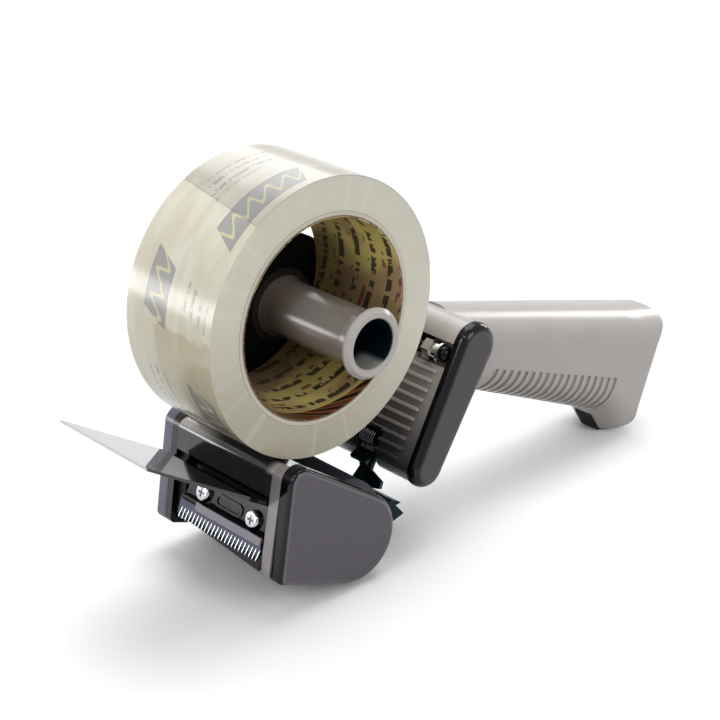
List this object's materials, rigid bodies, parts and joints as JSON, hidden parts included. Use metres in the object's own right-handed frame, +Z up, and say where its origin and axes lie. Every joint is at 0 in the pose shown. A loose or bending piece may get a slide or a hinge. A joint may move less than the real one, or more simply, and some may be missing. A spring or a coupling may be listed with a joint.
{
  "type": "packing tape dispenser",
  "caption": "Hand-held packing tape dispenser with a wide tape roll on a hub, toothed blade, applying roller, sprung guide bar, wiper flap and angled grip handle.",
  "frame": {"origin": "on the floor, midway along and across the dispenser's outline", "axes": "+X from the wiper flap back to the butt of the handle, +Y from the open side to the side plate, +Z up"},
  "size_m": [0.2968, 0.076, 0.1622],
  "materials": {
    "black_plastic": "black moulded plastic",
    "hub_plastic": "glossy taupe-grey plastic",
    "printed_sleeve": "printed sleeve, gold with plain bars",
    "core_board": "brown cardboard",
    "tape_film": "wound clear adhesive tape, cream",
    "head_grey": "grey moulded plastic",
    "cap_dark": "dark grey cap",
    "cap_mauve": "mauve-grey cap",
    "holder_black": "black plastic",
    "blade_steel": "ground steel",
    "clamp_mauve": "mauve-grey plastic",
    "screw_chrome": "plated steel",
    "wiper_film": "smoke-brown glossy sheet",
    "roller_rubber": "dark slate rubber",
    "roller_core_plastic": "black plastic",
    "shaft_steel": "steel",
    "handle_grey": "light warm grey plastic",
    "bridge_cap_dark": "dark grey cap",
    "foot_rubber": "black rubber",
    "bolt_steel": "steel",
    "nut_chrome": "plated steel",
    "washer_chrome": "plated steel",
    "tip_black": "black plastic",
    "pin_steel": "steel",
    "arm_steel": "teal-black coated steel",
    "bar_steel": "teal-black coated steel",
    "spring_steel": "spring steel"
  },
  "bodies": {
    "tool": {"side_plate": "black_plastic", "hub": "hub_plastic", "head_housing": "head_grey", "head_near_cap": "cap_dark", "head_far_cap": "cap_mauve", "blade_holder": "holder_black", "blade": "blade_steel", "blade_clamp": "clamp_mauve", "blade_screws": "screw_chrome", "roller_shaft": "shaft_steel", "handle_body": "handle_grey", "bridge_cap": "bridge_cap_dark", "butt_foot": "foot_rubber", "brake_bolt": "bolt_steel", "brake_washer": "washer_chrome", "brake_tip": "tip_black", "arm_pin": "pin_steel", "torsion_spring": "spring_steel"},
    "tape_roll": {"core_liner": "printed_sleeve", "tape_core": "core_board", "tape_winding": "tape_film"},
    "applying_roller": {"roller_tyre": "roller_rubber", "roller_core": "roller_core_plastic"},
    "guide_arm": {"tension_arm": "arm_steel", "guide_bar": "bar_steel"},
    "wiper": {"wiper_plate": "wiper_film"},
    "nut": {"brake_nut": "nut_chrome"}
  },
  "joints": [
    {"name": "tape_spin", "type": "hinge", "parent": "tool", "child": "tape_roll", "pos_m": [-0.06674, -0.002, 0.10867], "axis": [0, 1, 0], "continuous": true},
    {"name": "roller_spin", "type": "hinge", "parent": "tool", "child": "applying_roller", "pos_m": [-0.05855, -0.002, 0.0204], "axis": [0, 1, 0], "continuous": true},
    {"name": "guide_arm_swing", "type": "hinge", "parent": "tool", "child": "guide_arm", "pos_m": [-0.01934, -0.002, 0.03859], "axis": [0, 1, 0], "range_deg": [-8, 8], "stiffness_Nm_per_rad": 0.3},
    {"name": "wiper_flex", "type": "hinge", "parent": "tool", "child": "wiper", "pos_m": [-0.09017, -0.002, 0.0409], "axis": [0, 1, 0], "range_deg": [-8, 10], "stiffness_Nm_per_rad": 0.6},
    {"name": "brake_nut_turn", "type": "hinge", "parent": "tool", "child": "nut", "pos_m": [-0.00218, -0.0169, 0.07661], "axis": [0, 1, 0], "continuous": true}
  ]
}
